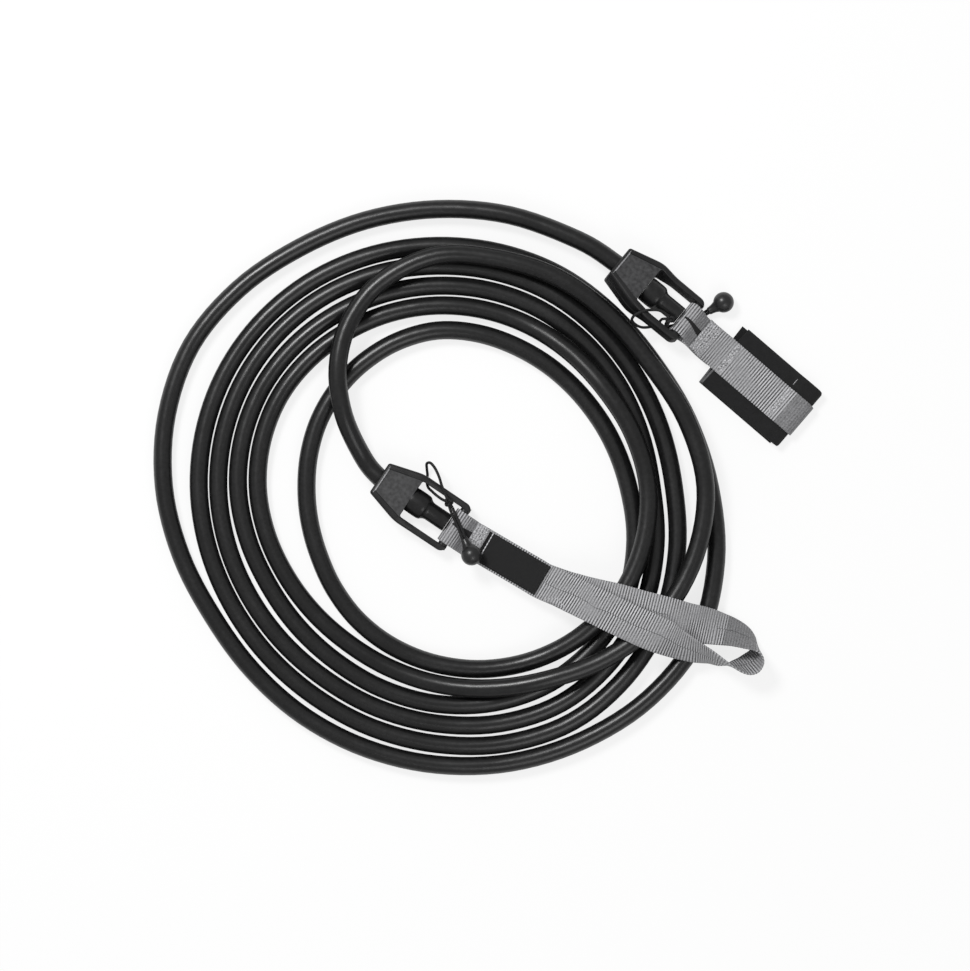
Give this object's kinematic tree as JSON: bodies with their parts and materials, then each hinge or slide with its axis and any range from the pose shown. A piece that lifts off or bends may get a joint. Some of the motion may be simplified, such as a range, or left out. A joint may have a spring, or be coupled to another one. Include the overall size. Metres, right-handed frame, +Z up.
{
  "type": "swim tether",
  "caption": "Elastic tube laid in loops between an anchor fitting with a webbing loop and an ankle fitting with a folded cuff, for swimming in place",
  "frame": {"origin": "on the floor, under the middle of the bounding box of all pieces but the latex tube", "axes": "+Z up from the floor on which the tether lies, +X to the right and +Y to the back of the laid-out tether"},
  "size_m": [0.4525, 0.3888, 0.0326],
  "materials": {
    "tube": "satin",
    "plug": "matte",
    "fitting": "satin",
    "cord": "matte",
    "ball": "satin",
    "webbing": "matte",
    "band": "matte",
    "patch": "matte"
  },
  "bodies": {
    "root": {"latex_tube": "tube", "anchor_tube_end": "tube", "anchor_stop_plug": "plug", "ankle_tube_end": "tube", "ankle_stop_plug": "plug"},
    "anchor_shackle": {"anchor_shackle": "fitting", "anchor_tie_loop": "cord", "anchor_tie_knot": "cord"},
    "anchor_ball": {"anchor_ball": "ball", "anchor_ball_cord": "cord"},
    "anchor_strap": {"anchor_bar_loop": "webbing", "anchor_webbing": "webbing", "anchor_label": "band"},
    "ankle_shackle": {"ankle_shackle": "fitting", "ankle_tie_loop": "cord", "ankle_tie_knot": "cord"},
    "ankle_ball": {"ankle_ball": "ball", "ankle_ball_cord": "cord"},
    "ankle_strap": {"ankle_bar_loop": "webbing", "ankle_webbing": "webbing", "cuff_upper_band": "band", "cuff_loop_patch": "patch"},
    "cuff_flap": {"cuff_lower_band": "band", "cuff_hook_patch": "patch"}
  },
  "joints": [
    {"name": "anchor_swivel", "type": "hinge", "parent": "root", "child": "anchor_shackle", "pos_m": [-0.1469, -0.01071, 0.009], "axis": [0.83, -0.5577, 0], "range_deg": [0, 25]},
    {"name": "anchor_strap_pivot", "type": "hinge", "parent": "anchor_shackle", "child": "anchor_strap", "pos_m": [-0.09648, -0.04459, 0.009], "axis": [-0.5577, -0.83, 0], "range_deg": [0, 110]},
    {"name": "anchor_ball_swing", "type": "hinge", "parent": "anchor_shackle", "child": "anchor_ball", "pos_m": [-0.10021, -0.02727, 0.01625], "axis": [-0.5577, -0.83, 0], "range_deg": [0, 126.5]},
    {"name": "ankle_swivel", "type": "hinge", "parent": "root", "child": "ankle_shackle", "pos_m": [0.0133, 0.13359, 0.01427], "axis": [-0.7716, 0.6361, 0], "range_deg": [0, 120]},
    {"name": "ankle_strap_pivot", "type": "hinge", "parent": "ankle_shackle", "child": "ankle_strap", "pos_m": [0.06017, 0.09495, 0.01427], "axis": [-0.5977, -0.7251, 0.342], "range_deg": [0, 110]},
    {"name": "ankle_ball_swing", "type": "hinge", "parent": "ankle_shackle", "child": "ankle_ball", "pos_m": [0.04865, 0.09599, 0.02382], "axis": [0.5977, 0.7251, -0.342], "range_deg": [0, 20]},
    {"name": "cuff_flap_peel", "type": "hinge", "parent": "ankle_strap", "child": "cuff_flap", "pos_m": [0.1342, 0.03127, 0.00015], "axis": [-0.6521, -0.7581, 0], "range_deg": [0, 170]}
  ],
  "couplings": [
    {"joint": "anchor_ball_swing", "follows": "anchor_strap_pivot", "ratio": 1.15}
  ]
}
